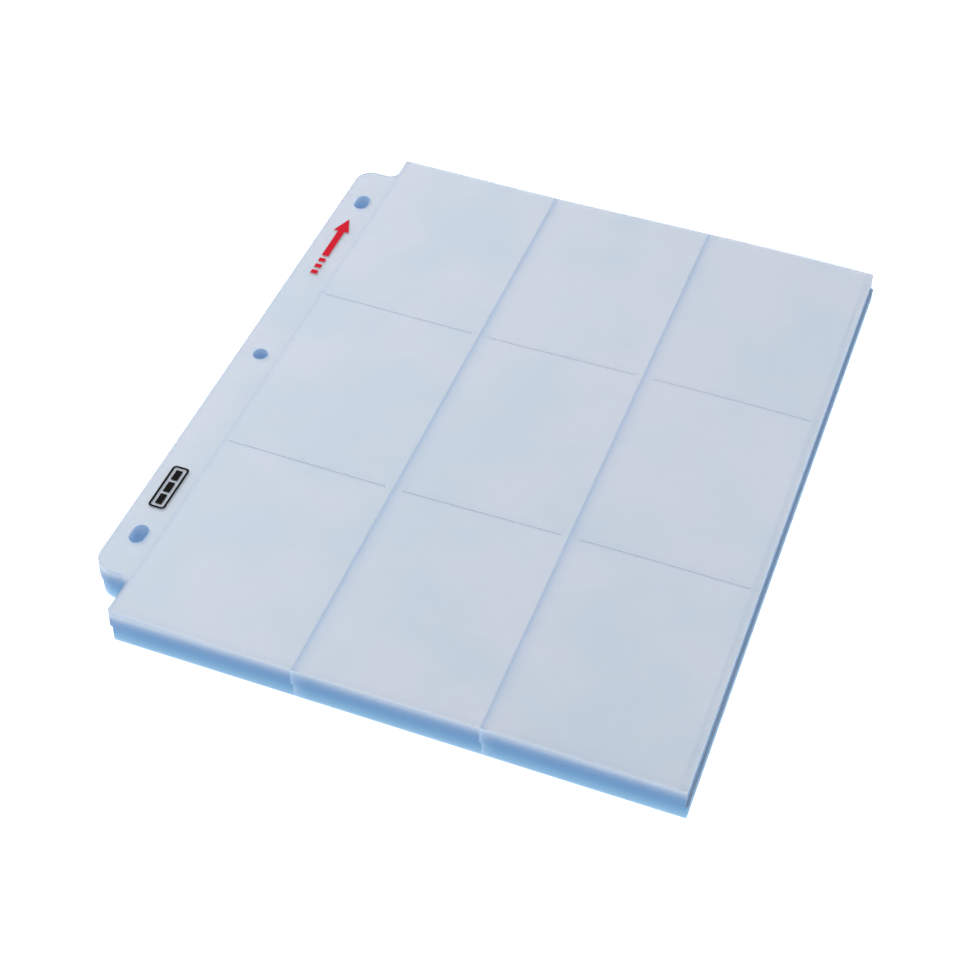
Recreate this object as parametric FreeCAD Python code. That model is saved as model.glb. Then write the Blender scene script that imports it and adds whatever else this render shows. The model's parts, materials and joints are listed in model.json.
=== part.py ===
import FreeCAD, Part
import math
import os

# A loose stack of clear nine-pocket card pages, punched for a three-ring binder.
# Each page is two polypropylene films, heat-welded to each other along a grid of seams and
# fused into one thickness over the binding strip.
# Origin: axis of the middle ring hole, on the underside of the stack.
# +X runs from the binding strip across the pockets, +Y to the back edge, +Z up the stack.
# All sizes are in millimetres.

# The stack
page_count = 25
air_gap = 0.04            # left between one page and the next
side_step = 1.0           # how far the lower pages' outline lies right of the upper pages'
side_step_share = 0.45    # share of the pages that lie below that step
lean_x = 0.3              # how far the lowest page's outline lies right, beside the step
lean_y = 1.2              # how far the lowest page's outline lies in front of the top page's
wander_x = 0.08           # page to page scatter of the outline about the punched holes
wander_y = 0.06
wander_step_x = 2.4       # radians from page to page, so that the scatter looks irregular
wander_step_y = 1.7

# The films
film_thickness = 0.18
weld_rise = 0.10          # height of a weld seam, which is the slack inside an empty pocket

# Cards and pockets
columns = 3
rows = 3
card_width = 63.5
card_height = 88.9
pocket_ease_x = 8.1       # pocket pitch over card width
pocket_ease_y = 6.1       # pocket pitch over card height
mouth_margin = 3.2        # film beyond the top row's pockets, at the open back edge
pocket_area_shift = -2.0  # centre of the pocket area from the middle hole, along Y

# Weld seams
divider_weld_width = 2.0
edge_weld_width = 1.0
row_weld_width = 0.8
left_flange = 1.2         # film outside the centre of each edge seam
right_flange = 2.5
front_flange = 1.8

# Pocket mouths of the lower rows, slit through the front film beside the row seams
slit_width = 0.4
slit_gap = 0.3            # from the row seam to the slit
slit_stop_divider = 3.5   # from a divider's centre to the end of the slit
slit_stop_edge = 1.2      # from an edge seam's centre to the end of the slit

# Binding strip and ring holes
ring_pitch = 107.95       # 4 1/4 inch, the three-ring standard
hole_diameter = 6.35
slot_length = 9.5
hole_to_outer_edge = 8.7
hole_to_left_weld = 9.0
slot_to_strip_back = 21.5
slot_to_strip_front = 21.0

# Corner radii
strip_corner_radius = 7.5
notch_radius = 3.8
page_corner_radius = 0.6
arc_share_of_side = 0.48  # the most of a short side that one corner's arc may take

# Trimming
block_margin = 1.0        # how far a block that trims a film reaches past the page's edges

# Printed marks on the top page's binding strip
ink_thickness = 0.02
arrow_tip_y = 94.0
arrow_head_length = 9.0
arrow_head_width = 7.0
arrow_shaft_width = 3.0
arrow_shaft_length = 18.0
dash_count = 3
dash_length = 2.4
dash_gap = 1.8
frame_centre_y = -82.5
frame_length = 23.0
frame_width = 7.0
frame_line = 0.9
frame_corner_radius = 1.6
block_count = 3
block_gap = 1.2

# Worked out from the driving dimensions
page_thickness = 2 * film_thickness + weld_rise
page_pitch = page_thickness + air_gap
column_pitch = card_width + pocket_ease_x
row_pitch = card_height + pocket_ease_y
hole_radius = hole_diameter / 2
area_height = front_flange + rows * row_pitch + mouth_margin
left_weld_x = hole_to_left_weld
right_weld_x = left_weld_x + columns * column_pitch
area_left_x = left_weld_x - left_flange
area_right_x = right_weld_x + right_flange
area_back_y = pocket_area_shift + area_height / 2
area_front_y = pocket_area_shift - area_height / 2
front_weld_y = area_front_y + front_flange
strip_back_y = ring_pitch + slot_to_strip_back
strip_front_y = -ring_pitch - slot_to_strip_front


def vector(x, y, z=0.0):
    return FreeCAD.Vector(x, y, z)


def rounded_outline(corners):
    """Closed wire through (x, y, radius) corners, each turned by a tangent arc.

    An arc is limited to its share of the shorter side beside its corner.
    """
    arcs = []
    for i, (x, y, radius) in enumerate(corners):
        corner = vector(x, y)
        back = vector(*corners[i - 1][:2]) - corner
        ahead = vector(*corners[(i + 1) % len(corners)][:2]) - corner
        half_angle = back.getAngle(ahead) / 2
        longest_reach = arc_share_of_side * min(back.Length, ahead.Length)
        reach = min(radius / math.tan(half_angle), longest_reach)
        radius = reach * math.tan(half_angle)
        back.normalize()
        ahead.normalize()
        bisector = (back + ahead).normalize()
        middle = corner + bisector * (radius / math.sin(half_angle) - radius)
        arcs.append((corner + back * reach, middle, corner + ahead * reach))
    edges = []
    for i, (start, middle, end) in enumerate(arcs):
        edges.append(Part.Arc(start, middle, end).toShape())
        next_start = arcs[(i + 1) % len(arcs)][0]
        edges.append(Part.makeLine(end, next_start))
    return Part.Wire(edges)


def polygon(points):
    """Closed wire of straight lines."""
    corners = [vector(x, y) for x, y in points]
    return Part.makePolygon(corners + corners[:1])


def rectangle(x_low, x_high, y_low, y_high):
    return polygon([(x_low, y_low), (x_high, y_low), (x_high, y_high), (x_low, y_high)])


def plate(wires, z, thickness):
    """Flat plate: the first wire is its outline and the others are cut out of it."""
    face = Part.makeFace(wires, "Part::FaceMakerBullseye")
    solid = face.extrude(vector(0, 0, thickness))
    solid.translate(vector(0, 0, z))
    return solid


def page_outline(dx, dy):
    """Pocket area with the shorter, round-cornered binding strip on its left."""
    outer_x = dx - hole_to_outer_edge
    left_x = dx + area_left_x
    right_x = dx + area_right_x
    back_y = dy + area_back_y
    front_y = dy + area_front_y
    return rounded_outline([
        (outer_x, dy + strip_front_y, strip_corner_radius),
        (left_x, dy + strip_front_y, notch_radius),
        (left_x, front_y, page_corner_radius),
        (right_x, front_y, page_corner_radius),
        (right_x, back_y, page_corner_radius),
        (left_x, back_y, page_corner_radius),
        (left_x, dy + strip_back_y, notch_radius),
        (outer_x, dy + strip_back_y, strip_corner_radius),
    ])


def ring_slot(y):
    """Punched slot that takes up the slack between rings, long way along Y."""
    half_straight = slot_length / 2 - hole_radius
    low = y - half_straight
    high = y + half_straight
    right_side = Part.makeLine(vector(hole_radius, low), vector(hole_radius, high))
    back_end = Part.Arc(
        vector(hole_radius, high), vector(0, high + hole_radius), vector(-hole_radius, high)
    ).toShape()
    left_side = Part.makeLine(vector(-hole_radius, high), vector(-hole_radius, low))
    front_end = Part.Arc(
        vector(-hole_radius, low), vector(0, low - hole_radius), vector(hole_radius, low)
    ).toShape()
    return Part.Wire([right_side, back_end, left_side, front_end])


def ring_holes():
    """One round hole in the middle and a slot at each end, all on the hole line."""
    round_hole = Part.Wire(Part.makeCircle(hole_radius))
    return [round_hole, ring_slot(ring_pitch), ring_slot(-ring_pitch)]


def row_seam_heights(dy):
    """Y of each seam that closes the bottom of an upper row's pockets."""
    return [dy + front_weld_y + row * row_pitch for row in range(1, rows)]


def mouth_slits(dx, dy):
    """Slits in the front film, one per column in front of each row seam."""
    slits = []
    for seam_y in row_seam_heights(dy):
        high = seam_y - row_weld_width / 2 - slit_gap
        for column in range(columns):
            start_stop = slit_stop_edge if column == 0 else slit_stop_divider
            end_stop = slit_stop_edge if column == columns - 1 else slit_stop_divider
            start = dx + left_weld_x + column * column_pitch + start_stop
            end = dx + left_weld_x + (column + 1) * column_pitch - end_stop
            slits.append(rectangle(start, end, high - slit_width, high))
    return slits


def weld_seams(dx, dy, z):
    """Grid of seams between the films: edges, dividers and the bottoms of the pockets."""
    seams = []
    left = dx + left_weld_x
    right = dx + right_weld_x
    front = dy + front_weld_y
    back = dy + area_back_y
    for column in range(columns + 1):
        x = left + column * column_pitch
        at_edge = column in (0, columns)
        width = edge_weld_width if at_edge else divider_weld_width
        outline = rectangle(x - width / 2, x + width / 2, front, back)
        seams.append(plate([outline], z, weld_rise))
    seams.append(plate([rectangle(left, right, front - edge_weld_width / 2,
                                  front + edge_weld_width / 2)], z, weld_rise))
    for y in row_seam_heights(dy):
        outline = rectangle(left, right, y - row_weld_width / 2, y + row_weld_width / 2)
        seams.append(plate([outline], z, weld_rise))
    return seams


def pocket_side(dx, dy, z, thickness):
    """Block over the pockets, from the inner edge of the fused binding strip to the right."""
    inner_x = dx + left_weld_x - edge_weld_width / 2
    right_x = dx + area_right_x + block_margin
    front_y = dy + area_front_y - block_margin
    back_y = dy + area_back_y + block_margin
    return plate([rectangle(inner_x, right_x, front_y, back_y)], z, thickness)


def back_film(dx, dy, z):
    """Back film, with the binding strip, where both films are fused into one thickness."""
    fused = plate([page_outline(dx, dy)] + ring_holes(), z, page_thickness)
    above_back_film = page_thickness - film_thickness
    return fused.cut(pocket_side(dx, dy, z + film_thickness, above_back_film))


def front_film(dx, dy, z):
    """Slit film over the pockets, with the weld seams that stand on the back film under it."""
    seam_z = z + film_thickness
    film_z = seam_z + weld_rise
    film = plate([page_outline(dx, dy)] + mouth_slits(dx, dy), film_z, film_thickness)
    film = film.common(pocket_side(dx, dy, film_z, film_thickness))
    return film.multiFuse(weld_seams(dx, dy, seam_z)).removeSplitter()


def arrow_mark(dx, dy, z):
    """Plain arrow with dashes behind its shaft, printed in red between two ring holes."""
    tip = dy + arrow_tip_y
    neck = tip - arrow_head_length
    tail = neck - arrow_shaft_length
    half_head = arrow_head_width / 2
    half_shaft = arrow_shaft_width / 2
    arrow = polygon([
        (dx, tip), (dx - half_head, neck), (dx - half_shaft, neck), (dx - half_shaft, tail),
        (dx + half_shaft, tail), (dx + half_shaft, neck), (dx + half_head, neck),
    ])
    solids = [plate([arrow], z, ink_thickness)]
    for i in range(dash_count):
        high = tail - dash_gap - i * (dash_length + dash_gap)
        dash = rectangle(dx - half_shaft, dx + half_shaft, high - dash_length, high)
        solids.append(plate([dash], z, ink_thickness))
    return Part.makeCompound(solids)


def frame_mark(dx, dy, z):
    """Round-cornered frame around a row of plain blocks, printed in black."""
    half_width = frame_width / 2
    low = dy + frame_centre_y - frame_length / 2
    high = low + frame_length
    outer = rounded_outline([
        (dx - half_width, low, frame_corner_radius),
        (dx + half_width, low, frame_corner_radius),
        (dx + half_width, high, frame_corner_radius),
        (dx - half_width, high, frame_corner_radius),
    ])
    inner_half = half_width - frame_line
    inner_low = low + frame_line
    inner_high = high - frame_line
    inner = rectangle(dx - inner_half, dx + inner_half, inner_low, inner_high)
    solids = [plate([outer, inner], z, ink_thickness)]
    block_length = (inner_high - inner_low - (block_count + 1) * block_gap) / block_count
    for i in range(block_count):
        start = inner_low + block_gap + i * (block_length + block_gap)
        block = rectangle(
            dx - inner_half + block_gap, dx + inner_half - block_gap, start, start + block_length
        )
        solids.append(plate([block], z, ink_thickness))
    return Part.makeCompound(solids)


def outline_offset(index):
    """Where page number index, counted from 0 at the bottom, lies about the ring holes."""
    height_share = index / (page_count - 1)
    step_side = 0.5 if height_share < side_step_share else -0.5
    above_middle = height_share - 0.5
    dx = side_step * step_side - lean_x * above_middle + wander_x * math.sin(wander_step_x * index)
    dy = lean_y * above_middle + wander_y * math.sin(wander_step_y * index)
    return dx, dy


def save(shape, name):
    shape.exportStep("parts/" + name + ".step")


def main():
    os.makedirs("parts", exist_ok=True)
    for index in range(page_count):
        dx, dy = outline_offset(index)
        z = index * page_pitch
        name = "page_%02d" % (index + 1)
        save(back_film(dx, dy, z), name + "_back_film")
        save(front_film(dx, dy, z), name + "_front_film")
    ink_z = z + page_thickness
    save(arrow_mark(dx, dy, ink_z), "top_page_red_arrow")
    save(frame_mark(dx, dy, ink_z), "top_page_black_frame")


main()
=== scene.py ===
"""A loose stack of clear nine-pocket card pages, dressed for a studio picture.

Every page is two cast polypropylene films, welded to each other along a grid of seams and fused
into one thickness over the punched binding strip. The films are built flat, once each, and every
page of the stack is a copy that lies on the page beneath it.

Sizes in the classes are in millimetres, as on a maker's drawing. Meshes and the studio are in
metres.
"""

import json
import logging
import math
from dataclasses import dataclass
from enum import Enum
from typing import Any, Callable, Iterable, Optional

import bmesh
import bpy
from mathutils import Matrix, Vector

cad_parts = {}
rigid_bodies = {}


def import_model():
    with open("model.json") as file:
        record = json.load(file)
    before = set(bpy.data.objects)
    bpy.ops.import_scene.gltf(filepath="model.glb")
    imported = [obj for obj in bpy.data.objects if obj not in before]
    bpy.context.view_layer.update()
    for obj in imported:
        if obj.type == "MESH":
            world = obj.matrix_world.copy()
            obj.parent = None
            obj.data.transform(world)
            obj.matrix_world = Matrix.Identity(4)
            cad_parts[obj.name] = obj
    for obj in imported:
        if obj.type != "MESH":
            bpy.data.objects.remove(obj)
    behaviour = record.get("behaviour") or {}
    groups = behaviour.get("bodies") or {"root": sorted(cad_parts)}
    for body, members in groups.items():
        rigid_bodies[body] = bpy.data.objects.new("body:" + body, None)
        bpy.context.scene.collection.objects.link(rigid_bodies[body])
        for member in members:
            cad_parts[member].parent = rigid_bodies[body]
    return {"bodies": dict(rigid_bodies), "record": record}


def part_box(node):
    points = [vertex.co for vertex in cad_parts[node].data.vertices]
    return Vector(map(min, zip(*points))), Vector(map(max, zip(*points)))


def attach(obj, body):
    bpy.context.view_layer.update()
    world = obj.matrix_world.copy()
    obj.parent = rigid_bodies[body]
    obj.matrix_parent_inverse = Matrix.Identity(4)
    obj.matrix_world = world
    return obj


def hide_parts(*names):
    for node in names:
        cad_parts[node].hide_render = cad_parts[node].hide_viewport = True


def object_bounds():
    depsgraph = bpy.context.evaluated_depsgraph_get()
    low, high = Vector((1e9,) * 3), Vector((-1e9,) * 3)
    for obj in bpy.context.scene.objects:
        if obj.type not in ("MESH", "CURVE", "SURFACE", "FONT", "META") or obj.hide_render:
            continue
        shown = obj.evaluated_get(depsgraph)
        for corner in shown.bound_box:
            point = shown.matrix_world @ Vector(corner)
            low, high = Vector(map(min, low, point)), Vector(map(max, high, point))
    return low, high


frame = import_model()
CAD_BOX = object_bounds()
LOG = logging.getLogger("card_pages")
MM = 0.001
TOLERANCE = 1e-6
RED_SLOT = "red_ink"
BLACK_SLOT = "black_ink"


def linear_colour(hex_value: str) -> tuple[float, float, float, float]:
    """Turn an sRGB colour into the linear colour that shaders take.

    Args:
        hex_value: six hexadecimal digits, red first.

    Returns:
        Linear red, green and blue, and an alpha of 1.
    """
    shares = [int(hex_value[i:i + 2], 16) / 255 for i in (0, 2, 4)]
    linear = [c / 12.92 if c <= 0.04045 else ((c + 0.055) / 1.055) ** 2.4 for c in shares]
    return (linear[0], linear[1], linear[2], 1.0)


def add_node(
    tree: bpy.types.NodeTree,
    kind: str,
    inputs: Optional[dict[Any, Any]] = None,
    stops: Iterable[tuple[float, str]] = (),
    **settings: Any,
) -> bpy.types.Node:
    """Add one node to a node tree.

    Args:
        tree: the tree that gets the node.
        kind: the node's type name.
        inputs: for each socket's name or number, a value or the output socket that feeds it.
        stops: places and hex colours of a colour ramp.
        settings: the node's own properties.

    Returns:
        The new node.
    """
    node = tree.nodes.new(kind)
    for name, value in settings.items():
        setattr(node, name, value)
    for name, value in (inputs or {}).items():
        if isinstance(value, bpy.types.NodeSocket):
            tree.links.new(value, node.inputs[name])
        else:
            node.inputs[name].default_value = value
    for number, (place, hex_value) in enumerate(stops):
        elements = node.color_ramp.elements
        element = elements[number] if number < 2 else elements.new(place)
        element.position = place
        element.color = linear_colour(hex_value)
    return node


def start_material(
    name: str,
) -> tuple[bpy.types.Material, bpy.types.NodeTree, bpy.types.NodeSocket]:
    """Add a material whose node tree only knows the place on the object.

    Args:
        name: the material's name.

    Returns:
        The material, its tree and the socket with the object's own coordinates.
    """
    material = bpy.data.materials.new(name)
    material.use_nodes = True
    tree = material.node_tree
    tree.nodes.clear()
    return material, tree, add_node(tree, "ShaderNodeTexCoord").outputs["Object"]


def per_metre(size_mm: float) -> float:
    """Texture scale whose features are about this many millimetres across."""
    return 1 / (size_mm * MM)


class Film(Enum):
    """The two films of one page."""

    BACK = "back_film"
    FRONT = "front_film"


class Role(Enum):
    """Material slots of a film's mesh."""

    FACE = 0
    EDGE = 1
    HOLE_WALL = 2


@dataclass(frozen=True)
class CastFilmFinish:
    """Clear cast polypropylene film, calendered with a very fine satin texture.

    It gives the eye a milky, bluish surface with a broad soft sheen: one film lets most of what
    lies close beneath it show, and a pile of them goes pale blue.
    """

    name: str = "clear_cast_polypropylene"
    tint: str = "EEF2F9"
    cloud_tint: str = "E8F0F8"
    seam_and_shade_tint: str = "9FC3EA"
    cloud_mm: float = 34.0
    draw_line_mm: float = 0.9
    draw_line_length_mm: float = 60.0
    satin_mm: float = 0.7
    alpha: float = 0.24
    ior: float = 1.49

    def build(self) -> bpy.types.Material:
        """Make the material of the films' faces.

        Returns:
            The material, whose opacity is one constant.
        """
        material, tree, place = start_material(self.name)
        cloud = add_node(tree, "ShaderNodeTexNoise", {
            "Vector": place, "Scale": per_metre(self.cloud_mm), "Detail": 3.0, "Roughness": 0.45})
        body = add_node(tree, "ShaderNodeValToRGB", {"Fac": cloud.outputs["Fac"]},
                        stops=((0.38, self.tint), (0.62, self.cloud_tint)))
        # The seam colour is partly the welds' own tint and partly painted shade, which fades out to the
        # right of each divider where the film lifts off the weld.
        seam = add_node(tree, "ShaderNodeAttribute", attribute_name="seam")
        colour = add_node(tree, "ShaderNodeMix", {
            0: seam.outputs["Fac"], 6: body.outputs["Color"], 7: linear_colour(self.seam_and_shade_tint)},
            data_type="RGBA")
        # Cast film keeps faint lines along the way it was drawn, which is along the page.
        drawn = add_node(tree, "ShaderNodeMapping", {
            "Vector": place,
            "Scale": (per_metre(self.draw_line_mm), per_metre(self.draw_line_length_mm), 1.0)})
        lines = add_node(tree, "ShaderNodeTexNoise", {
            "Vector": drawn.outputs["Vector"], "Scale": 1.0, "Detail": 2.0})
        # The real satin texture is a few hundredths of a millimetre, too fine to show at this
        # distance, so it is drawn coarser here.
        satin = add_node(tree, "ShaderNodeTexNoise", {
            "Vector": place, "Scale": per_metre(self.satin_mm), "Detail": 2.0})
        roughness = add_node(tree, "ShaderNodeMapRange", {
            "Value": satin.outputs["Fac"], "To Min": 0.3, "To Max": 0.48})
        line_bump = add_node(tree, "ShaderNodeBump", {
            "Strength": 0.05, "Distance": 0.02 * MM, "Height": lines.outputs["Fac"]})
        bump = add_node(tree, "ShaderNodeBump", {
            "Strength": 0.05, "Distance": 0.01 * MM, "Height": satin.outputs["Fac"],
            "Normal": line_bump.outputs["Normal"]})
        shader = add_node(tree, "ShaderNodeBsdfPrincipled", {
            "Base Color": colour.outputs[2], "Roughness": roughness.outputs["Result"],
            "IOR": self.ior, "Alpha": self.alpha, "Normal": bump.outputs["Normal"],
            "Specular IOR Level": 0.35})
        add_node(tree, "ShaderNodeOutputMaterial", {"Surface": shader.outputs["BSDF"]})
        return material


@dataclass(frozen=True)
class CutEdgeFinishAndPaintedLight:
    """Knife-cut edge of polypropylene film.

    Light that entered the faces leaks out at a pile's cut edges, so its side is a clear sky blue. Here
    that light is painted: by height in the stack, the edge colour is painted pale under the top pages,
    deepest near the middle and lighter again over the bright table, and the edge has a weak painted
    glow. Where a seam ends on the edge it is paler.
    """

    name: str = "cut_polypropylene_edge"
    streak_length_mm: float = 40.0
    streak_height_mm: float = 0.9
    roughness: float = 0.32
    ior: float = 1.49
    weld_tint: str = "C0D6E8"
    painted_glow_tint: str = "8FB8E8"
    leak: float = 0.1
    # Painted light and shade by height in the stack, from the bottom (0) to the top (1).
    stops: tuple[tuple[float, str], ...] = (
        (0.0, "93BBD9"), (1.0, "B3BDCA"), (0.2, "6FA2C4"), (0.42, "4C87B2"),
        (0.62, "4D7FAD"), (0.8, "7090B4"))

    def build(self, stack_height_mm: float) -> bpy.types.Material:
        """Make the material of the films' edges.

        Args:
            stack_height_mm: height of the whole stack, over which the blue changes.

        Returns:
            The material.
        """
        material, tree, place = start_material(self.name)
        height = add_node(tree, "ShaderNodeSeparateXYZ", {"Vector": place})
        streaks = add_node(tree, "ShaderNodeMapping", {
            "Vector": place,
            "Scale": (per_metre(self.streak_length_mm), per_metre(self.streak_length_mm),
                      per_metre(self.streak_height_mm))})
        uneven = add_node(tree, "ShaderNodeTexNoise", {
            "Vector": streaks.outputs["Vector"], "Scale": 1.0, "Detail": 2.0})
        level = add_node(tree, "ShaderNodeMapRange", {
            "Value": height.outputs["Z"], "From Max": stack_height_mm * MM})
        wander = add_node(tree, "ShaderNodeMath", {
            0: uneven.outputs["Fac"], 1: 0.1, 2: -0.05}, operation="MULTIPLY_ADD")
        blurred = add_node(tree, "ShaderNodeMath", {
            0: level.outputs["Result"], 1: wander.outputs["Value"]}, operation="ADD")
        # Painted shade by height: this ramp's blue stands in for the light that leaves the pile's side.
        painted_height_shade = add_node(tree, "ShaderNodeValToRGB", {"Fac": blurred.outputs["Value"]},
                         stops=self.stops)
        weld = add_node(tree, "ShaderNodeAttribute", attribute_name="seam")
        colour = add_node(tree, "ShaderNodeMix", {
            0: weld.outputs["Fac"], 6: painted_height_shade.outputs["Color"], 7: linear_colour(self.weld_tint)},
            data_type="RGBA")
        grain = add_node(tree, "ShaderNodeBump", {
            "Strength": 0.15, "Distance": 0.05 * MM, "Height": uneven.outputs["Fac"]})
        # The emission is a painted glow for light leaking out of the stack; the edge is no lamp.
        shader = add_node(tree, "ShaderNodeBsdfPrincipled", {
            "Base Color": colour.outputs[2], "Roughness": self.roughness,
            "IOR": self.ior, "Normal": grain.outputs["Normal"],
            "Emission Color": linear_colour(self.painted_glow_tint), "Emission Strength": self.leak})
        add_node(tree, "ShaderNodeOutputMaterial", {"Surface": shader.outputs["BSDF"]})
        return material


@dataclass(frozen=True)
class ScreenInkFinish:
    """Solvent ink, screen printed on film.

    It gives the eye a flat opaque colour with a slightly uneven deposit and a dull gloss.
    """

    name: str
    tint: str
    thin_tint: str
    grain_mm: float = 0.35
    ior: float = 1.5

    def build(self) -> bpy.types.Material:
        """Make the ink's material.

        Returns:
            The material.
        """
        material, tree, place = start_material(self.name)
        deposit = add_node(tree, "ShaderNodeTexNoise", {
            "Vector": place, "Scale": per_metre(self.grain_mm), "Detail": 3.0})
        colour = add_node(tree, "ShaderNodeValToRGB", {"Fac": deposit.outputs["Fac"]},
                          stops=((0.35, self.tint), (0.75, self.thin_tint)))
        roughness = add_node(tree, "ShaderNodeMapRange", {
            "Value": deposit.outputs["Fac"], "To Min": 0.38, "To Max": 0.6})
        bump = add_node(tree, "ShaderNodeBump", {
            "Strength": 0.2, "Distance": 0.01 * MM, "Height": deposit.outputs["Fac"]})
        shader = add_node(tree, "ShaderNodeBsdfPrincipled", {
            "Base Color": colour.outputs["Color"], "Roughness": roughness.outputs["Result"],
            "IOR": self.ior, "Normal": bump.outputs["Normal"], "Specular IOR Level": 0.05})
        add_node(tree, "ShaderNodeOutputMaterial", {"Surface": shader.outputs["BSDF"]})
        return material


@dataclass(frozen=True)
class WhiteTableFinish:
    """Matt white acrylic sheet lit from below, as a product table is, so no shadow stays on it."""

    name: str = "opal_acrylic_table"
    tint: str = "FAFAFA"
    grain_tint: str = "F6F7F8"
    grain_mm: float = 3.0
    glow: float = 0.75

    def build(self) -> bpy.types.Material:
        """Make the table's material.

        Returns:
            The material.
        """
        material, tree, place = start_material(self.name)
        grain = add_node(tree, "ShaderNodeTexNoise", {
            "Vector": place, "Scale": per_metre(self.grain_mm)})
        colour = add_node(tree, "ShaderNodeValToRGB", {"Fac": grain.outputs["Fac"]},
                          stops=((0.4, self.tint), (0.6, self.grain_tint)))
        shader = add_node(tree, "ShaderNodeBsdfPrincipled", {
            "Base Color": colour.outputs["Color"], "Roughness": 0.9,
            "Specular IOR Level": 0.0, "Emission Color": (1.0, 1.0, 1.0, 1.0),
            "Emission Strength": self.glow})
        add_node(tree, "ShaderNodeOutputMaterial", {"Surface": shader.outputs["BSDF"]})
        return material


@dataclass(frozen=True)
class PageLayout:
    """Where the edges, seams, pocket mouths and ring holes of one page lie.

    X runs from the hole line across the pockets, Y to the pockets' open back edge, and the origin
    is the middle ring hole of a page whose outline is centred about its holes.
    """

    width: float
    length: float
    page_thickness: float
    film_thickness: float
    air_gap: float
    ring_pitch: float
    hole_radius: float
    slot_length: float
    columns: int = 3
    rows: int = 3
    column_pitch: float = 71.6
    row_pitch: float = 95.0
    hole_to_outer_edge: float = 8.7
    hole_to_left_weld: float = 9.0
    left_flange: float = 1.2
    front_flange: float = 1.8
    area_shift: float = -2.0
    slot_to_strip_back: float = 21.5
    slot_to_strip_front: float = 21.0
    strip_corner: float = 7.5
    notch: float = 3.8
    page_corner: float = 0.6
    divider_weld: float = 2.0
    edge_weld: float = 1.0
    row_weld: float = 0.8
    slit_width: float = 0.15
    slit_gap: float = 0.3
    slit_stop_divider: float = 3.5
    slit_stop_edge: float = 1.2

    @classmethod
    def from_frame(cls) -> "PageLayout":
        """Read the page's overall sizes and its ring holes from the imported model.

        Returns:
            The layout.
        """
        low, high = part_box("page_01_back_film")
        front_low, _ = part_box("page_01_front_film")
        next_low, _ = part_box("page_02_back_film")
        dims = {m["name"]: m["dims"] for m in frame["record"]["mounts"]}
        slots = dims["outer_ring_slots"]
        return cls(
            width=(high.x - low.x) / MM,
            length=(high.y - low.y) / MM,
            page_thickness=(high.z - low.z) / MM,
            film_thickness=(front_low.z - low.z) / MM,
            air_gap=(next_low.z - high.z) / MM,
            ring_pitch=slots["spacing_y_mm"] / 2,
            hole_radius=dims["middle_ring_hole"]["r_mm"],
            slot_length=slots["slot_length_mm"],
        )

    @property
    def outer_x(self) -> float:
        """Free edge of the binding strip."""
        return -self.hole_to_outer_edge

    @property
    def right_x(self) -> float:
        """Right edge of the pockets."""
        return self.outer_x + self.width

    @property
    def area_left_x(self) -> float:
        """Left edge of the pocket area beyond the strip's ends."""
        return self.hole_to_left_weld - self.left_flange

    @property
    def strip_inner_x(self) -> float:
        """Where the fused strip ends and the pockets' two films begin."""
        return self.hole_to_left_weld - self.edge_weld / 2

    @property
    def front_y(self) -> float:
        """Front edge of the page."""
        return self.area_shift - self.length / 2

    @property
    def back_y(self) -> float:
        """Open back edge of the page."""
        return self.area_shift + self.length / 2

    @property
    def weld_xs(self) -> list[float]:
        """Centres of the seams that run along Y, from the left."""
        return [self.hole_to_left_weld + i * self.column_pitch for i in range(self.columns + 1)]

    @property
    def weld_ys(self) -> list[float]:
        """Centres of the seams that run along X, from the front."""
        return [self.front_y + self.front_flange + i * self.row_pitch for i in range(self.rows)]

    @property
    def slit_bands(self) -> list[tuple[float, float]]:
        """Low and high Y of the pocket mouths, one pair per row seam."""
        highs = [y - self.row_weld / 2 - self.slit_gap for y in self.weld_ys[1:]]
        return [(high - self.slit_width, high) for high in highs]

    @property
    def slit_spans(self) -> list[tuple[float, float]]:
        """Pocket mouths across the page.

        Returns:
            Low and high X, one pair per column.
        """
        spans = []
        for left, right in zip(self.weld_xs, self.weld_xs[1:]):
            at_left = left == self.weld_xs[0]
            at_right = right == self.weld_xs[-1]
            start = left + (self.slit_stop_edge if at_left else self.slit_stop_divider)
            end = right - (self.slit_stop_edge if at_right else self.slit_stop_divider)
            spans.append((start, end))
        return spans

    @property
    def holes(self) -> list[tuple[float, float]]:
        """Y of each ring hole and half the straight length of its slot."""
        half_straight = self.slot_length / 2 - self.hole_radius
        return [(-self.ring_pitch, half_straight), (0.0, 0.0), (self.ring_pitch, half_straight)]

    def outline(self, film: Film) -> list[tuple[float, float, float]]:
        """Corners of a film.

        Args:
            film: which of the page's films.

        Returns:
            X, Y and corner radius of each corner, counterclockwise.
        """
        right_side = [
            (self.right_x, self.front_y, self.page_corner),
            (self.right_x, self.back_y, self.page_corner),
        ]
        if film is Film.FRONT:
            left = self.strip_inner_x
            return [(left, self.front_y, 0.0), *right_side, (left, self.back_y, 0.0)]
        strip_front = -self.ring_pitch - self.slot_to_strip_front
        strip_back = self.ring_pitch + self.slot_to_strip_back
        return [
            (self.outer_x, strip_front, self.strip_corner),
            (self.area_left_x, strip_front, self.notch),
            (self.area_left_x, self.front_y, self.page_corner),
            *right_side,
            (self.area_left_x, self.back_y, self.page_corner),
            (self.area_left_x, strip_back, self.notch),
            (self.outer_x, strip_back, self.strip_corner),
        ]


class LatticeRules:
    """Sizes of the mesh that carries a film's shape, in millimetres."""

    strip_step: float = 0.05
    spacing: float = 6.5
    hole_margin: float = 2.6
    hole_sides: int = 32
    hole_rim_reach: float = 0.5
    corner_segments: int = 8
    weld_shoulder: float = 0.5
    bead_width: float = 0.4
    bead_share_of_gap: float = 0.75
    crisp_angle: float = math.radians(35)


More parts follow.
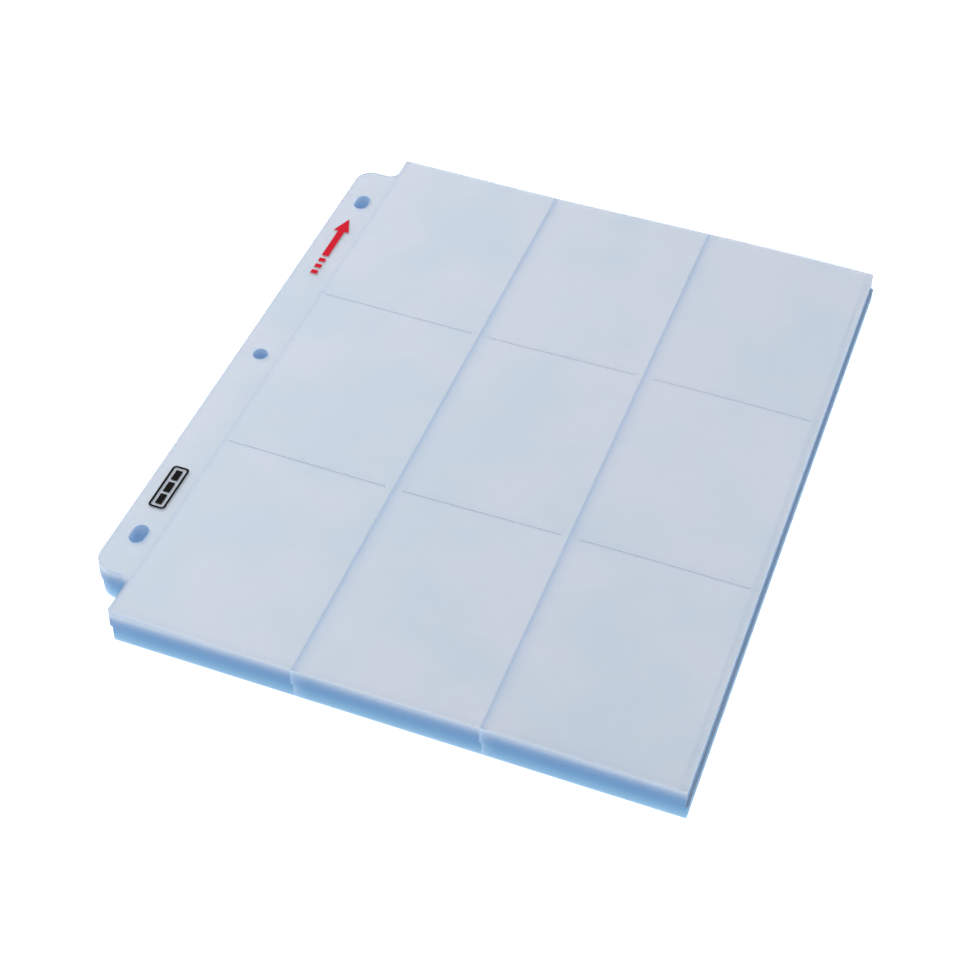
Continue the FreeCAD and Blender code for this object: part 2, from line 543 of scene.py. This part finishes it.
@dataclass(frozen=True)
class SeamAndShadeLook:
    """How strongly a seam shows across its width, as (distance from its centre, strength) pairs.

    The divider seams are crisp on their left, where the weld's own tint shows, and fade to the right
    with painted shade where the upper film lifts gently off the lower one.
    """

    # Right of a divider's weld, the fading strength is painted shade.
    divider: tuple[tuple[float, float], ...] = (
        (-0.9, 0.0), (-0.4, 0.5), (0.3, 0.34), (1.0, 0.2), (2.6, 0.08), (5.5, 0.0))
    edge: tuple[tuple[float, float], ...] = (
        (-0.9, 0.0), (-0.4, 0.1), (0.4, 0.1), (0.9, 0.0))
    row: tuple[tuple[float, float], ...] = ((-0.4, 0.0), (0.0, 0.04), (0.4, 0.02), (1.6, 0.0))

    def strength(self, profile: tuple[tuple[float, float], ...], distance: float) -> float:
        """Strength of a seam at a distance from its centre.

        Args:
            profile: one of the profiles.
            distance: signed distance from the seam's centre.

        Returns:
            Strength from 0 to 1.
        """
        for (a, low), (b, high) in zip(profile, profile[1:]):
            if a <= distance <= b:
                return low + (high - low) * (distance - a) / (b - a)
        return 0.0


@dataclass(frozen=True)
class StackLie:
    """How far loose pages rise off flat, given for the top page; lower pages take their share.

    Film from a roll keeps a long wave across the page, the front corner by the rings curls up,
    with the whole pile's heel a little, and the air in each pocket makes a low pillow between its
    seams.
    """

    layout: PageLayout
    wave_height: float = 0.8
    wave_length: float = 180.0
    wave_crest: float = 172.0
    curl_height: float = 1.6
    curl_reach_x: float = 22.0
    curl_reach_y: float = 34.0
    pillow_height: float = 0.3
    pillow_fullness: float = 0.6
    top_pillow: float = 0.25
    heel_height: float = 0.5
    heel_right_x: float = 190.0
    heel_back_y: float = -105.0

    def pillow(self, x: float, y: float) -> float:
        """Height share of the pocket's pillow.

        Args:
            x: place across the page.
            y: place along the page.

        Returns:
            0 on the seams and 1 in the middle of a pocket.
        """
        column = (x - self.layout.weld_xs[0]) / self.layout.column_pitch
        row = (y - self.layout.weld_ys[0]) / self.layout.row_pitch
        if not 0 <= column <= self.layout.columns:
            return 0.0
        across = math.sin(math.pi * (column % 1))
        open_end = row > self.layout.rows - 0.5
        along = 1.0 if open_end else math.sin(math.pi * (row % 1)) if row > 0 else 0.0
        return (across * along) ** self.pillow_fullness

    def heel(self, x: float, y: float) -> float:
        """Height that every page gains where the pile's front corner by the rings turns up.

        Args:
            x: place across the page.
            y: place along the page.

        Returns:
            Height, never negative.
        """
        across = max(1 - max(x, self.layout.area_left_x) / self.heel_right_x, 0.0)
        along = max((self.heel_back_y - y) / (self.heel_back_y - self.layout.front_y), 0.0)
        return self.heel_height * across * along ** 2

    def lift(self, x: float, y: float) -> float:
        """Height that the top page gains over lying flat.

        Args:
            x: place across the page.
            y: place along the page.

        Returns:
            Height, never negative.
        """
        turn = 2 * math.pi * (x - self.wave_crest) / self.wave_length
        wave = self.wave_height * (0.5 + 0.5 * math.cos(turn))
        past_corner = max(x - self.layout.area_left_x, 0.0)
        curl = self.curl_height * math.exp(
            -(past_corner / self.curl_reach_x) - (y - self.layout.front_y) / self.curl_reach_y)
        return wave + curl + self.pillow_height * self.pillow(x, y)


@dataclass(frozen=True)
class PagePlace:
    """Where one page of the stack lies."""

    number: int
    share: float
    share_step: float
    shift_x: float
    shift_y: float
    base: float

    @property
    def body(self) -> str:
        """Name of the page's body, which its pieces ride on."""
        return f"page_{self.number:02d}"

    @classmethod
    def all_from_frame(cls, layout: PageLayout) -> list["PagePlace"]:
        """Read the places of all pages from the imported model.

        Args:
            layout: the page's layout.

        Returns:
            The places, lowest page first.
        """
        count = len(frame["bodies"])
        lows = [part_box(f"page_{number:02d}_back_film")[0] for number in range(1, count + 1)]
        lowest_y = lows[0].y / MM - layout.front_y
        drift_y = (lows[-1].y - lows[0].y) / MM
        places = []
        for number, low in enumerate(lows, start=1):
            share = (number - 1) / (count - 1)
            # The scatter along the page is too small to see, so the pages drift evenly here.
            places.append(cls(
                number=number,
                share=share,
                share_step=1 / (count - 1),
                shift_x=low.x / MM - layout.outer_x,
                shift_y=lowest_y + share * drift_y,
                base=low.z / MM,
            ))
        return places


class FlatFilm:
    """One film, built flat, with what each of its vertices needs to know to lie in the stack."""

    def __init__(self, film: Film, layout: PageLayout, lie: StackLie, look: SeamAndShadeLook) -> None:
        """Build the flat mesh.

        Args:
            film: which of the page's films.
            layout: the page's layout.
            lie: how pages lie.
            look: how seams and their painted shade show.
        """
        self.film = film
        self.layout = layout
        self.lie = lie
        self.look = look
        self.mesh = bpy.data.meshes.new(f"flat_{film.value}")
        shape = self.cut_sheet()
        self.divide(shape)
        if film is Film.BACK:
            self.punch_holes(shape)
        else:
            self.slit_mouths(shape)
        self.thicken(shape)
        self.paint_seams_and_shade(shape)
        shape.to_mesh(self.mesh)
        shape.free()
        self.points = [vertex.co / MM for vertex in self.mesh.vertices]
        rim = self.mesh.attributes["rim"]
        self.rims = [item.value > 0.5 for item in rim.data]
        self.mesh.attributes.remove(rim)
        self.lifts = [lie.lift(p.x, p.y) for p in self.points]
        self.heels = [lie.heel(p.x, p.y) for p in self.points]
        self.near_holes = [self.hole_share(p.x, p.y) for p in self.points]
        self.dips = [
            0.0 if rim else self.weld_share(p.x, p.y) for p, rim in zip(self.points, self.rims)]
        self.pillows = [lie.pillow(p.x, p.y) for p in self.points]

    def cut_sheet(self) -> bmesh.types.BMesh:
        """Cut the film's outline, with its corners rounded.

        Returns:
            One flat face.
        """
        shape = bmesh.new()
        corners = self.layout.outline(self.film)
        vertices = [shape.verts.new((x * MM, y * MM, 0.0)) for x, y, _ in corners]
        shape.faces.new(vertices)
        for vertex, (_, _, radius) in zip(vertices, corners):
            if radius > 0:
                bmesh.ops.bevel(
                    shape, geom=[vertex], offset=radius * MM, offset_type="OFFSET",
                    affect="VERTICES", segments=LatticeRules.corner_segments, profile=0.5,
                    material=-1, clamp_overlap=False)
        return shape

    def feature_lines(self) -> tuple[list[float], list[float]]:
        """Lines that the mesh must have: seams' profiles, pocket mouths and around the holes.

        Returns:
            X of the lines along Y, and Y of the lines along X.
        """
        layout = self.layout
        step_x = layout.strip_inner_x + LatticeRules.strip_step
        lines_x = {layout.area_left_x, layout.strip_inner_x, step_x}
        shoulder = LatticeRules.weld_shoulder
        for weld in layout.weld_xs[1:-1]:
            lines_x.update(weld + distance for distance, _ in self.look.divider)
        edge_lines = [distance for distance, _ in self.look.edge]
        lines_x.update(layout.weld_xs[-1] + distance for distance in edge_lines)
        lines_x.update(layout.weld_xs[0] + distance for distance in edge_lines if distance > 0)
        lines_y = {layout.weld_ys[0] + distance for distance in edge_lines}
        for weld in layout.weld_ys[1:]:
            lines_y.update(weld + distance for distance, _ in self.look.row)
            lines_y.add(weld + layout.row_weld / 2 + shoulder)
        for low, high in layout.slit_bands:
            lines_y.update((low, high))
        for start, end in layout.slit_spans:
            lines_x.update((start, end))
        bead = LatticeRules.bead_width
        lines_x.update((layout.outer_x + bead, layout.right_x - bead))
        lines_y.update((layout.front_y + bead, layout.back_y - bead))
        reach = layout.hole_radius + LatticeRules.hole_margin
        lines_x.update((-reach, reach))
        for y, half_straight in layout.holes:
            lines_y.update((y - half_straight - reach, y + half_straight + reach))
        return sorted(lines_x), sorted(lines_y)

    def divide(self, shape: bmesh.types.BMesh) -> None:
        """Cut the face into a lattice through its features.

        Args:
            shape: the film's shape, which is changed.
        """
        layout = self.layout
        limits = ((layout.outer_x, layout.right_x), (layout.front_y, layout.back_y))
        for axis, features in enumerate(self.feature_lines()):
            stations = [limits[axis][0], *features, limits[axis][1]]
            lines = list(features)
            for a, b in zip(stations, stations[1:]):
                parts = max(1, math.ceil((b - a) / LatticeRules.spacing))
                lines.extend(a + (b - a) * i / parts for i in range(1, parts))
            normal = Vector((1.0, 0.0, 0.0)) if axis == 0 else Vector((0.0, 1.0, 0.0))
            for line in sorted(lines):
                bmesh.ops.bisect_plane(
                    shape, geom=shape.verts[:] + shape.edges[:] + shape.faces[:],
                    plane_co=normal * line * MM, plane_no=normal, dist=TOLERANCE)

    def faces_inside(
        self, shape: bmesh.types.BMesh, spans: tuple[tuple[float, float], tuple[float, float]],
    ) -> list[bmesh.types.BMFace]:
        """Faces whose middle lies in a rectangle.

        Args:
            shape: the film's shape.
            spans: the rectangle's X and Y limits.

        Returns:
            The faces.
        """
        (x_low, x_high), (y_low, y_high) = spans
        found = []
        for face in shape.faces:
            middle = face.calc_center_median() / MM
            if x_low < middle.x < x_high and y_low < middle.y < y_high:
                found.append(face)
        return found

    def punch_holes(self, shape: bmesh.types.BMesh) -> None:
        """Punch the round hole and the slots, each bridged to a rectangle of the lattice.

        Args:
            shape: the film's shape, which is changed.
        """
        reach = self.layout.hole_radius + LatticeRules.hole_margin
        for y, half_straight in self.layout.holes:
            half_length = half_straight + reach
            patch = self.faces_inside(shape, ((-reach, reach), (y - half_length, y + half_length)))
            inner = {vertex for face in patch for vertex in face.verts}
            bmesh.ops.delete(shape, geom=patch, context="FACES")
            rim = [
                edge for edge in shape.edges
                if edge.is_boundary and all(vertex in inner for vertex in edge.verts)
            ]
            ring = bmesh.ops.create_circle(
                shape, segments=LatticeRules.hole_sides, radius=self.layout.hole_radius * MM,
                matrix=Matrix.Translation((0.0, y * MM, 0.0)))["verts"]
            for vertex in ring:
                beyond = vertex.co.y - y * MM
                if abs(beyond) > TOLERANCE:
                    vertex.co.y += math.copysign(half_straight * MM, beyond)
            ring_edges = list({edge for vertex in ring for edge in vertex.link_edges})
            bmesh.ops.bridge_loops(shape, edges=rim + ring_edges)

    def slit_mouths(self, shape: bmesh.types.BMesh) -> None:
        """Slit the mouths of the lower rows' pockets.

        Args:
            shape: the film's shape, which is changed.
        """
        for band in self.layout.slit_bands:
            for span in self.layout.slit_spans:
                bmesh.ops.delete(shape, geom=self.faces_inside(shape, (span, band)), context="FACES")

    def thicken(self, shape: bmesh.types.BMesh) -> None:
        """Give the flat shape its thickness, smooth faces and crisp rims.

        Args:
            shape: the film's shape, which is changed.
        """
        fused_end = self.layout.strip_inner_x + LatticeRules.strip_step / 2
        rim = shape.verts.layers.float.new("rim")
        underside = set(shape.verts)
        bottom = set(shape.faces)
        made = bmesh.ops.extrude_face_region(shape, geom=shape.faces[:], use_keep_orig=True)["geom"]
        caps = bottom | {item for item in made if isinstance(item, bmesh.types.BMFace)}
        upper = {item for item in made if isinstance(item, bmesh.types.BMVert)}
        for vertex in shape.verts:
            opposite = underside if vertex in upper else upper
            at_rim = any(edge.other_vert(vertex) in opposite for edge in vertex.link_edges)
            at_rim = at_rim and self.on_cut_edge(vertex.co.x / MM, vertex.co.y / MM)
            vertex[rim] = float(at_rim)
            if vertex in upper:
                vertex.co.z = self.top_height(vertex.co.x / MM < fused_end, at_rim) * MM
        bmesh.ops.recalc_face_normals(shape, faces=shape.faces[:])
        for face in shape.faces:
            face.smooth = True
            face.material_index = (Role.FACE if face in caps else self.wall_role(face)).value
        for edge in shape.edges:
            edge.smooth = edge.calc_face_angle(0.0) < LatticeRules.crisp_angle

    def on_cut_edge(self, x: float, y: float) -> bool:
        """Whether a rim lies on the page's outline or a ring hole, and not in a pocket's mouth.

        Args:
            x: place across the page.
            y: place along the page.

        Returns:
            True where the knife cut through both films.
        """
        layout = self.layout
        if self.film is Film.BACK or abs(x - layout.right_x) < layout.page_corner:
            return True
        ends = min(abs(y - layout.front_y), abs(y - layout.back_y))
        return ends < layout.page_corner

    def wall_role(self, face: bmesh.types.BMFace) -> Role:
        """Material slot of an upright face."""
        middle = face.calc_center_median() / MM
        return Role.HOLE_WALL if self.hole_share(middle.x, middle.y) > 0 else Role.EDGE

    def top_height(self, fused: bool, at_rim: bool) -> float:
        """Height of the film's upper side over its underside.

        The knife leaves a small bead at every cut edge, so a page's edge looks like one piece.

        Args:
            fused: whether the place is on the binding strip.
            at_rim: whether the place is on a cut edge.

        Returns:
            Height in millimetres.
        """
        layout = self.layout
        bead = layout.air_gap * LatticeRules.bead_share_of_gap if at_rim else 0.0
        if self.film is Film.FRONT:
            return layout.film_thickness + bead
        if fused:
            return layout.page_thickness + bead
        rim_under_front_film = layout.page_thickness - layout.film_thickness
        return rim_under_front_film if at_rim else layout.film_thickness

    def paint_seams_and_shade(self, shape: bmesh.types.BMesh) -> None:
        """Store how strongly a seam's tint and its painted shade show at each vertex.

        Args:
            shape: the film's shape, which gets the "seam" attribute.
        """
        layer = shape.verts.layers.float.new("seam")
        for vertex in shape.verts:
            place = vertex.co / MM
            vertex[layer] = self.seam_and_shade_strength(place.x, place.y)

    def seam_and_shade_strength(self, x: float, y: float) -> float:
        """Strongest seam tint, with its painted shade, at a place.

        Args:
            x: place across the page.
            y: place along the page.

        Returns:
            Strength from 0 to 1.
        """
        layout = self.layout
        look = self.look
        if x < layout.strip_inner_x:
            return 0.0
        found = [look.strength(look.divider, x - weld) for weld in layout.weld_xs[1:-1]]
        if y > layout.weld_ys[0] - layout.edge_weld:
            sides = (layout.weld_xs[0], layout.weld_xs[-1])
            found += [look.strength(look.edge, x - weld) for weld in sides]
        found.append(look.strength(look.edge, y - layout.weld_ys[0]))
        found += [look.strength(look.row, y - weld) for weld in layout.weld_ys[1:]]
        return max(found)

    def weld_share(self, x: float, y: float) -> float:
        """How far the front film dips onto the back film at a place.

        Args:
            x: place across the page.
            y: place along the page.

        Returns:
            1 on a weld, falling to 0 beside it.
        """
        layout = self.layout
        gaps = [abs(x - weld) - layout.divider_weld / 2 for weld in layout.weld_xs[1:-1]]
        gaps.append(abs(x - layout.weld_xs[-1]) - layout.edge_weld / 2)
        gaps.append(abs(y - layout.weld_ys[0]) - layout.edge_weld / 2)
        gaps += [abs(y - weld) - layout.row_weld / 2 for weld in layout.weld_ys[1:]]
        return min(max(1 - min(gaps) / LatticeRules.weld_shoulder, 0.0), 1.0)

    def hole_share(self, x: float, y: float) -> float:
        """Whether a vertex belongs to a ring hole, which stays on the hole line.

        Args:
            x: place across the page.
            y: place along the page.

        Returns:
            1 on a hole's rim, else 0.
        """
        for hole_y, half_straight in self.layout.holes:
            along = max(abs(y - hole_y) - half_straight, 0.0)
            if math.hypot(x, along) < self.layout.hole_radius + LatticeRules.hole_rim_reach:
                return 1.0
        return 0.0

    def lay(self, place: PagePlace, on_top: bool) -> bpy.types.Mesh:
        """Copy the film and lay it at a page's place.

        Args:
            place: the page's place.
            on_top: whether nothing lies on this page.

        Returns:
            The page's own mesh.
        """
        layout = self.layout
        mesh = self.mesh.copy()
        front = self.film is Film.FRONT
        under = layout.page_thickness - layout.film_thickness if front else 0.0
        weld_depth = under - layout.film_thickness if front else 0.0
        extra_pillow = self.lie.top_pillow if front and on_top else 0.0
        page_top = layout.film_thickness if front else layout.page_thickness
        flat = []
        for point, rim, lift, heel, near, dip, pillow in zip(
                self.points, self.rims, self.lifts, self.heels, self.near_holes, self.dips,
                self.pillows):
            height = place.base + under + point.z + place.share * lift + heel
            height += extra_pillow * pillow - weld_depth * dip
            if rim and point.z >= page_top and not on_top:
                # The next page lies a little higher here, and the cut edges still meet.
                height += place.share_step * lift
            flat.append((point.x + place.shift_x * (1 - near)) * MM)
            flat.append((point.y + place.shift_y * (1 - near)) * MM)
            flat.append(height * MM)
        mesh.vertices.foreach_set("co", flat)
        mesh.update()
        return mesh


@dataclass(frozen=True)
class PrintedMark:
    """A generic mark, screen printed on the binding strip of every page."""

    name: str
    cad_node: str
    slot: str
    finish: ScreenInkFinish
    draw: Callable[[float, float], bmesh.types.BMesh]

    def lay(
        self, place: PagePlace, top: PagePlace, layout: PageLayout, lie: StackLie,
    ) -> bpy.types.Mesh:
        """Print the mark on one page.

        Args:
            place: the page's place.
            top: the top page's place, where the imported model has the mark.
            layout: the page's layout.
            lie: how pages lie.

        Returns:
            The mark's mesh.
        """
        low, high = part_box(self.cad_node)
        shape = self.draw((high.x - low.x) / MM, (high.y - low.y) / MM)
        start_y = low.y / MM - top.shift_y
        for vertex in shape.verts:
            x = vertex.co.x / MM
            y = vertex.co.y / MM + start_y
            on_strip = place.base + layout.page_thickness + place.share * lie.lift(x, y) + lie.heel(x, y)
            vertex.co = Vector((
                (x + place.shift_x) * MM, (y + place.shift_y) * MM, on_strip * MM + vertex.co.z))
        mesh = bpy.data.meshes.new(f"{place.body}_{self.name}")
        shape.to_mesh(mesh)
        shape.free()
        return mesh


class MarkShapes:
    """Outlines of the printed marks, each drawn flat about X 0 and up from Y 0."""

    skin: float = 0.02
    station: float = 3.0
    corner_segments: int = 5

    @classmethod
    def panel(cls, shape: bmesh.types.BMesh, points: list[tuple[float, float]]) -> bmesh.types.BMFace:
        """Add one flat panel.

        Args:
            shape: the mark's shape, which is changed.
            points: the panel's corners, counterclockwise, in millimetres.

        Returns:
            The panel's face.
        """
        return shape.faces.new([shape.verts.new((x * MM, y * MM, 0.0)) for x, y in points])

    @classmethod
    def finish(cls, shape: bmesh.types.BMesh, length: float) -> bmesh.types.BMesh:
        """Divide a mark along its length, so that it follows the page, and thicken it.

        Args:
            shape: the mark's flat shape, which is changed.
            length: the mark's length.

        Returns:
            The same shape.
        """
        for i in range(1, int(length / cls.station) + 1):
            bmesh.ops.bisect_plane(
                shape, geom=shape.verts[:] + shape.edges[:] + shape.faces[:],
                plane_co=(0.0, i * cls.station * MM, 0.0), plane_no=(0.0, 1.0, 0.0),
                dist=TOLERANCE)
        made = bmesh.ops.extrude_face_region(shape, geom=shape.faces[:], use_keep_orig=True)
        for item in made["geom"]:
            if isinstance(item, bmesh.types.BMVert):
                item.co.z = cls.skin * MM
        bmesh.ops.recalc_face_normals(shape, faces=shape.faces[:])
        return shape

    @classmethod
    def arrow(cls, width: float, length: float) -> bmesh.types.BMesh:
        """Plain arrow with dashes behind its shaft.

        Args:
            width: width of its head.
            length: length from the last dash to the tip.

        Returns:
            The mark's shape.
        """
        head, shaft, half_shaft, dash, gap = 9.0, 18.0, 1.5, 2.4, 1.8
        shape = bmesh.new()
        neck = length - head
        tail = neck - shaft
        cls.panel(shape, [
            (half_shaft, tail), (half_shaft, neck), (width / 2, neck), (0.0, length),
            (-width / 2, neck), (-half_shaft, neck), (-half_shaft, tail)])
        high = tail - gap
        while high > dash - TOLERANCE / MM:
            cls.panel(shape, [
                (-half_shaft, high - dash), (half_shaft, high - dash),
                (half_shaft, high), (-half_shaft, high)])
            high -= dash + gap
        return cls.finish(shape, length)

    @classmethod
    def frame_of_blocks(cls, width: float, length: float) -> bmesh.types.BMesh:
        """Round-cornered frame around a row of plain blocks.

        Args:
            width: width over the frame.
            length: length over the frame.

        Returns:
            The mark's shape.
        """
        line, corner, gap, blocks = 0.9, 1.6, 1.2, 3
        shape = bmesh.new()
        outer = cls.rounded(shape, width / 2, 0.0, length, corner)
        inner = cls.rounded(shape, width / 2 - line, line, length - line, corner - line)
        bmesh.ops.bridge_loops(shape, edges=outer + inner)
        half = width / 2 - line - gap
        block = (length - 2 * line - (blocks + 1) * gap) / blocks
        for i in range(blocks):
            low = line + gap + i * (block + gap)
            cls.panel(shape, [(-half, low), (half, low), (half, low + block), (-half, low + block)])
        return cls.finish(shape, length)

    @classmethod
    def rounded(
        cls, shape: bmesh.types.BMesh, half: float, low: float, high: float, radius: float,
    ) -> list[bmesh.types.BMEdge]:
        """Add a round-cornered loop of edges.

        Args:
            shape: the mark's shape, which is changed.
            half: half of the loop's width.
            low: lowest Y.
            high: highest Y.
            radius: corner radius.

        Returns:
            The loop's edges.
        """
        face = cls.panel(shape, [(-half, low), (half, low), (half, high), (-half, high)])
        made = bmesh.ops.bevel(
            shape, geom=list(face.verts), offset=radius * MM, offset_type="OFFSET",
            affect="VERTICES", segments=cls.corner_segments, profile=0.5, material=-1,
            clamp_overlap=False)
        loop = next(f for f in shape.faces if any(v in f.verts for v in made["verts"]))
        edges = list(loop.edges)
        bmesh.ops.delete(shape, geom=[loop], context="FACES_ONLY")
        return edges


@dataclass
class PageStack:
    """The whole stack: its pages, their films and their printed marks."""

    layout: PageLayout
    lie: StackLie
    look: SeamAndShadeLook
    face_finish: CastFilmFinish = CastFilmFinish()
    edge_finish_and_painted_light: CutEdgeFinishAndPaintedLight = CutEdgeFinishAndPaintedLight()
    # The hole walls get the same painted light and shade by height, paler, with a stronger painted glow.
    hole_finish_and_painted_light: CutEdgeFinishAndPaintedLight = CutEdgeFinishAndPaintedLight(
        name="punched_polypropylene_wall", streak_height_mm=1.6, leak=0.15,
        stops=((0.0, "A6C1D8"), (1.0, "BCCBDB"), (0.5, "8AA9C6")))

    def marks(self) -> list[PrintedMark]:
        """The two marks that every page carries.

        Returns:
            The red arrow and the black frame.
        """
        red = ScreenInkFinish("red_screen_ink", "C01424", "C82034")
        black = ScreenInkFinish("black_screen_ink", "060405", "120E10")
        return [
            PrintedMark("red_arrow", "top_page_red_arrow", RED_SLOT, red, MarkShapes.arrow),
            PrintedMark("black_frame", "top_page_black_frame", BLACK_SLOT, black,
                        MarkShapes.frame_of_blocks),
        ]

    def add_piece(self, name: str, mesh: bpy.types.Mesh, body: str) -> bpy.types.Object:
        """Add one finished piece to the scene.

        Args:
            name: the piece's name.
            mesh: its mesh, in place.
            body: the body that it rides on.

        Returns:
            The piece.
        """
        piece = bpy.data.objects.new(name, mesh)
        bpy.context.scene.collection.objects.link(piece)
        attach(piece, body)
        return piece

    def build(self) -> None:
        """Build every page from the bottom of the stack to its top."""
        face = self.face_finish.build()
        edge = self.edge_finish_and_painted_light.build(CAD_BOX[1][2] / MM)
        hole_wall = self.hole_finish_and_painted_light.build(CAD_BOX[1][2] / MM)
        flats = [FlatFilm(film, self.layout, self.lie, self.look) for film in Film]
        marks = [(mark, mark.finish.build()) for mark in self.marks()]
        places = PagePlace.all_from_frame(self.layout)
        for place in places:
            on_top = place is places[-1]
            for flat in flats:
                mesh = flat.lay(place, on_top)
                for finish in (face, edge, hole_wall):
                    mesh.materials.append(finish)
                node = f"{place.body}_{flat.film.value}"
                piece = self.add_piece(f"{node}_sheet", mesh, place.body)
                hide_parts(node)
                LOG.info("%s: %d faces", piece.name, len(mesh.polygons))
            for mark, ink in marks:
                mesh = mark.lay(place, places[-1], self.layout, self.lie)
                mesh.materials.append(ink)
                piece = self.add_piece(f"{place.body}_{mark.name}", mesh, place.body)
                if on_top:
                    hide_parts(mark.cad_node)
                LOG.info("%s: %d faces", piece.name, len(mesh.polygons))


@dataclass(frozen=True)
class Studio:
    """White product table, soft light from behind on the left, and the camera, in metres."""

    azimuth: float = 19.10
    elevation: float = 46.40
    roll: float = 1.55
    distance: float = 0.7519
    aim: tuple[float, float, float] = (0.11475, -0.03770, 0.01246)
    lens: float = 71.47
    sensor: float = 36.0
    table_half: float = 4.0
    table_gap: float = 0.0002
    sky_strength: float = 0.72
    sky_tint: str = "E6F0FB"
    softbox_watts: float = 9.0
    softbox_tint: str = "FFFAF6"
    softbox_side: float = 0.8
    softbox_place: tuple[float, float, float] = (-0.6, 0.15, 0.8)
    card_watts: float = 1.8
    card_side: float = 0.14
    card_place: tuple[float, float, float] = (0.7, 0.05, 0.075)
    film_bounces: int = 16

    def build(self) -> None:
        """Build the table, the lights and the camera."""
        self.add_table()
        self.add_lights()
        self.add_camera()
        self.set_picture()
        LOG.info("studio: table, lights and camera")

    def add_table(self) -> None:
        """Add the table top, whose surface is at height 0."""
        shape = bmesh.new()
        bmesh.ops.create_grid(
            shape, x_segments=8, y_segments=8, size=self.table_half,
            matrix=Matrix.Translation((0.0, 0.0, -self.table_gap)))
        mesh = bpy.data.meshes.new("table_top")
        shape.to_mesh(mesh)
        shape.free()
        mesh.materials.append(WhiteTableFinish().build())
        table = bpy.data.objects.new("table_top", mesh)
        bpy.context.scene.collection.objects.link(table)

    def add_lights(self) -> None:
        """Add the even white sky and the large softbox."""
        world = bpy.data.worlds.new("white_sky")
        world.use_nodes = True
        tree = world.node_tree
        tree.nodes.clear()
        sky = add_node(tree, "ShaderNodeBackground", {
            "Color": linear_colour(self.sky_tint), "Strength": self.sky_strength})
        add_node(tree, "ShaderNodeOutputWorld", {"Surface": sky.outputs["Background"]})
        bpy.context.scene.world = world
        self.add_panel("softbox", self.softbox_watts, self.softbox_side, self.softbox_place)
        self.add_panel("low_fill_card", self.card_watts, self.card_side, self.card_place)

    def add_panel(
        self, name: str, watts: float, side: float, spot: tuple[float, float, float],
    ) -> None:
        """Add one square panel of light that faces the stack.

        Args:
            name: the panel's name.
            watts: its power.
            side: its side, in metres.
            spot: where it stands, in metres.
        """
        light = bpy.data.lights.new(name, "AREA")
        light.energy = watts
        light.color = linear_colour(self.softbox_tint)[:3]
        light.size = side
        panel = bpy.data.objects.new(name, light)
        place = Vector(spot)
        turned = (Vector(self.aim) - place).to_track_quat("-Z", "Y").to_matrix().to_4x4()
        panel.matrix_world = Matrix.Translation(place) @ turned
        bpy.context.scene.collection.objects.link(panel)

    def add_camera(self) -> None:
        """Add the camera and make it the scene's."""
        turn = math.radians(self.azimuth)
        tilt = math.radians(self.elevation)
        forward = Vector((
            -math.sin(turn) * math.cos(tilt), math.cos(turn) * math.cos(tilt), -math.sin(tilt)))
        level = forward.cross(Vector((0.0, 0.0, 1.0))).normalized()
        upright = level.cross(forward)
        roll = math.radians(self.roll)
        right = level * math.cos(roll) + upright * math.sin(roll)
        up = right.cross(forward)
        data = bpy.data.cameras.new("camera")
        data.sensor_width = self.sensor
        data.lens = self.lens
        data.clip_start = 0.01
        camera = bpy.data.objects.new("camera", data)
        place = Vector(self.aim) - forward * self.distance
        turned = Matrix((right, up, -forward)).transposed().to_4x4()
        camera.matrix_world = Matrix.Translation(place) @ turned
        bpy.context.scene.collection.objects.link(camera)
        bpy.context.scene.camera = camera

    def set_picture(self) -> None:
        """Keep colours plain, and let light pass several films of the stack."""
        bpy.context.scene.view_settings.view_transform = "Standard"
        bpy.context.scene.cycles.transparent_max_bounces = self.film_bounces


def main() -> None:
    """Build the studio and the stack."""
    logging.basicConfig(level=logging.INFO, format="%(name)s: %(message)s")
    layout = PageLayout.from_frame()
    Studio().build()
    PageStack(layout, StackLie(layout), SeamAndShadeLook()).build()


if __name__ == "__main__":
    main()
